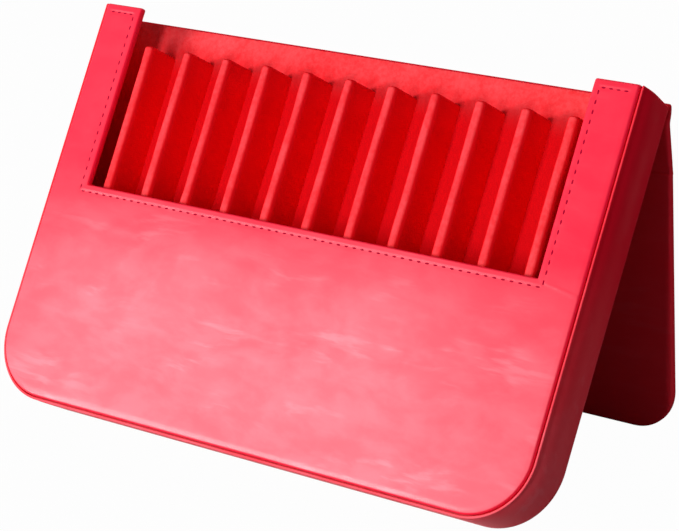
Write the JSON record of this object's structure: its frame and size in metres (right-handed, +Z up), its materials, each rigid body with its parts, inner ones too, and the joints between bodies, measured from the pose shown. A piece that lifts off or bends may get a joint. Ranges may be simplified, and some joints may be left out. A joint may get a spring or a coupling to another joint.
{
  "type": "pen case",
  "caption": "Leather pen case with a windowed front, padded slots inside, and a two-fold cover that folds back as an easel stand.",
  "frame": {"origin": "centre of the bounding box in X and Y, on the ground plane that the case's foot and the cover's foot stand on", "axes": "+X along the case's width, +Y from the windowed front to the back, +Z up; the case leans back about 38 degrees in its easel pose"},
  "size_m": [0.265, 0.1218, 0.1492],
  "materials": {
    "leather": "smooth pink-red leather with a cloudy, washed tone and a soft sheen",
    "lining": "short-nap red suede cloth, no gloss",
    "board": "dense grey-brown board of pressed paper pulp, hidden inside the leather",
    "steel": "plain plated disc magnet, hidden inside the board"
  },
  "bodies": {
    "case": {"front_leather": "leather", "front_board": "board", "front_lining": "lining", "front_magnet_left": "steel", "front_magnet_right": "steel", "side_leather": "leather", "side_board": "board", "side_lining": "lining", "back_leather": "leather", "back_board": "board", "back_lining": "lining", "floor_pad": "lining", "divider_cover_01": "lining", "divider_cover_02": "lining", "divider_cover_03": "lining", "divider_cover_04": "lining", "divider_cover_05": "lining", "divider_cover_06": "lining", "divider_cover_07": "lining", "divider_cover_08": "lining", "divider_cover_09": "lining", "divider_cover_10": "lining", "divider_cover_11": "lining", "divider_core_01": "board", "divider_core_02": "board", "divider_core_03": "board", "divider_core_04": "board", "divider_core_05": "board", "divider_core_06": "board", "divider_core_07": "board", "divider_core_08": "board", "divider_core_09": "board", "divider_core_10": "board", "divider_core_11": "board"},
    "spine": {"spine_leather": "leather", "spine_board": "board", "spine_lining": "lining"},
    "flap": {"flap_leather": "leather", "flap_board": "board", "flap_lining": "lining", "flap_magnet_left": "steel", "flap_magnet_right": "steel"}
  },
  "joints": [
    {"name": "top_hinge", "type": "hinge", "parent": "case", "child": "spine", "pos_m": [0, 0.06038, 0.13435], "axis": [1, 0, 0], "range_deg": [-7.5, 231]},
    {"name": "fold_hinge", "type": "hinge", "parent": "spine", "child": "flap", "pos_m": [0, 0.05947, 0.10922], "axis": [1, 0, 0], "range_deg": [-22, 95.8]}
  ]
}
